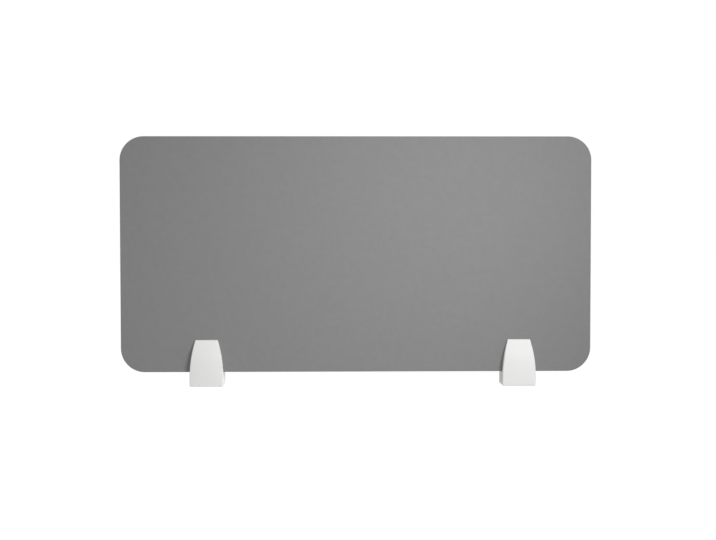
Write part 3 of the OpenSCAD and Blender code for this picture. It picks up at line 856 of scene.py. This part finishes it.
rise = SQUASH * STUD
stud_field = stud_rule()
for side in SIDES:
    for node, body, grip, hole in PADS:
        pad = softened(f"{side}_{node}", 0.35 * MM, f"{side}_{body}", "rubber", rubber)
        centre, size = middle(f"{side}_{node}")
        for v in pad.data.vertices:
            if (v.co.z - centre.z) * grip > 0:
                v.co.z -= grip * rise
        reach_x, reach_y = size.x - BARE, size.y - BARE
        across, down = (round(reach / STUD_STEP) + 1 for reach in (reach_x, reach_y))
        field = grow(f"{side}_{node}_studs", stud_field, Width=reach_x, Depth=reach_y, Corner=4.5 * MM,
                     Across=across, Down=down, Hole=hole, Stud=STUD, Finish=rubber)
        seat = centre.z + grip * size.z / 2 - grip * rise
        moved(field, Matrix.Translation((centre.x, centre.y, seat)))
        fit(field, f"{side}_{body}", "rubber")

# %% [markdown]
# ## Solids that stay as they are
# The set screws with their hexagon sockets, the brass inserts, the grip plate and the open clip are
# small and right as they are. They keep their solids and only get the finishes above.

# %% Better finishes for the solids that stay
KEPT = {"grip_plate": zinc, "grip_screws": black_steel, "grip_inserts": brass, "clip": black_steel}
for side in SIDES:
    for part, finish in KEPT.items():
        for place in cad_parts[f"{side}_{part}"].material_slots:
            place.material = finish
print("kept solids:", [f"{s}_{p}" for s in SIDES for p in KEPT])

# %% [markdown]
# ## The light
# A catalogue picture like this one has a white surround and one large soft light. The board grows
# lighter to the right and then fades again, and the clamps throw a soft edge of shadow to their
# left, the left clamp a wider one, so the main light is near, a spot over a metre across that
# stands to the right, above and in front. It is aimed at the middle of the board, and so its own
# fade holds back the end that is nearer to it. An even surround fills the shadows, and a weak lamp
# behind keeps the back of the object readable.

# %% Lamps
def lamp(name, kind, place, target, power, **settings):
    """A light at a place that looks at a target, with its power in watts."""
    data = bpy.data.lights.new(name, kind)
    data.energy = power
    for key, value in settings.items():
        setattr(data, key, value)
    item = linked(name, data)
    item.location = place
    item.rotation_euler = (Vector(target) - Vector(place)).to_track_quat("-Z", "Y").to_euler()


lamp("key", "SPOT", place=(1.173, -1.571, 1.02), target=(-0.051, 0, 0.249), power=143.2,
     shadow_soft_size=0.564, spot_size=math.radians(62.1), spot_blend=1.0)
lamp("behind", "AREA", place=(1.6, 2.4, 1.9), target=(0, 0, 0.2), power=42, shape="SQUARE", size=1.6)


# %% Surround: white for the camera, dimmer as a light
def looked_at(tree):
    """1 for a camera, glossy or glass ray, and 0 where a dull surface gathers its light."""
    rays = tree.add("ShaderNodeLightPath")
    kinds = rays.out("Is Camera Ray") + rays.out("Is Glossy Ray") + rays.out("Is Transmission Ray")
    return kinds.between(0.0, 1.0)


def surround(fill):
    world = bpy.data.worlds.new("surround")
    bpy.context.scene.world = world
    world.use_nodes = True
    sky = Tree(world.node_tree)
    shade = blend(sky, looked_at(sky), grey(fill), grey(1.0))
    sky.plug(world.node_tree.nodes["Background"].inputs["Color"], shade)


surround(fill=0.489)

# %% [markdown]
# ## The floor
# The screen is clamped to a desk that isn't shown, so the floor lies a desk's height below. To the
# camera it glows just enough to be white where nothing shades it, and it still takes the object's
# shadow. From underneath it is clear, so that the clamps can be looked at from below.

# %% A pale floor a desk's height below
def pale_floor(height, size, glow):
    shell = bmesh.new()
    bmesh.ops.create_grid(shell, x_segments=1, y_segments=1, size=size / 2)
    mesh = mesh_of(shell, "floor")
    mesh.transform(Matrix.Translation((0, 0, height)))
    material, tree, shader, _ = new_finish("pale_floor", Roughness=0.9, Specular_IOR_Level=0.0,
                                           Emission_Strength=1.0, Base_Color=grey(0.8))
    tree.plug(shader.inputs["Emission Color"], blend(tree, looked_at(tree), grey(0.0), grey(glow)))
    clear = tree.add("ShaderNodeBsdfTransparent")
    under = tree.add("ShaderNodeNewGeometry").out("Backfacing")
    both = tree.add("ShaderNodeMixShader", None, {0: under, 1: Wire(tree, shader, "BSDF"), 2: clear})
    tree.plug(material.node_tree.nodes["Material Output"].inputs["Surface"], both)
    linked("floor", painted(mesh, material))


pale_floor(height=-0.73, size=60.0, glow=0.622)
bpy.context.scene.view_settings.view_transform = "Standard"
